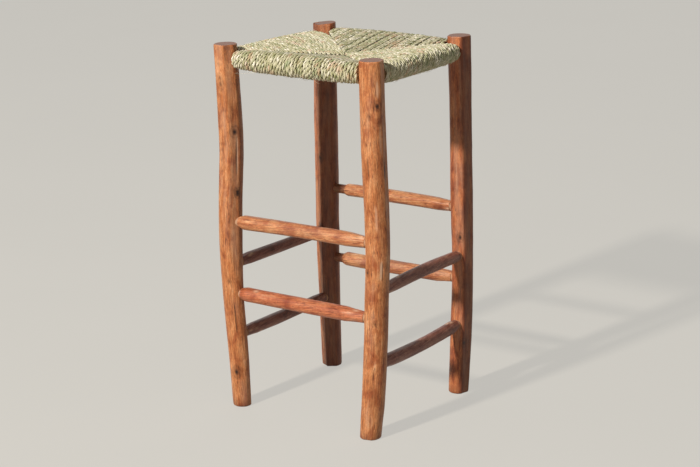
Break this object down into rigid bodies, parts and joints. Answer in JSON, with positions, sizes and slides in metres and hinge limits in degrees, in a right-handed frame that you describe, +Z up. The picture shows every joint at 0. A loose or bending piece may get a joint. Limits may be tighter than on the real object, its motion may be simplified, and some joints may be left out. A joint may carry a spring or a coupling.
{
  "type": "bar stool",
  "caption": "Tall rustic stool: slim debarked pole legs joined by round rungs at staggered heights, under a square seat woven of twisted leaf cord in triangular fields",
  "frame": {"origin": "on the floor, under the middle of the stool's outer box", "axes": "+Z up, -Y the front side, whose legs stand a little further apart than the back ones, +X to the right seen from the front"},
  "size_m": [0.4024, 0.3656, 0.75],
  "materials": {
    "leg_wood": "varnished, satin",
    "rung_wood": "varnished, satin",
    "rail_wood": "bare, matte",
    "woven_cord": "dry twisted leaf, matte",
    "leaf_stuffing": "loose leaf, matte"
  },
  "bodies": {
    "root": {"leg_front_left": "leg_wood", "leg_front_right": "leg_wood", "leg_back_right": "leg_wood", "leg_back_left": "leg_wood", "rail_front": "rail_wood", "rail_right": "rail_wood", "rail_back": "rail_wood", "rail_left": "rail_wood", "rung_front_upper": "rung_wood", "rung_front_lower": "rung_wood", "rung_back_upper": "rung_wood", "rung_back_lower": "rung_wood", "rung_left_upper": "rung_wood", "rung_left_lower": "rung_wood", "rung_right_upper": "rung_wood", "rung_right_lower": "rung_wood", "weave_front": "woven_cord", "weave_right": "woven_cord", "weave_back": "woven_cord", "weave_left": "woven_cord", "stuffing_front": "leaf_stuffing", "stuffing_right": "leaf_stuffing", "stuffing_back": "leaf_stuffing", "stuffing_left": "leaf_stuffing"}
  },
  "joints": []
}
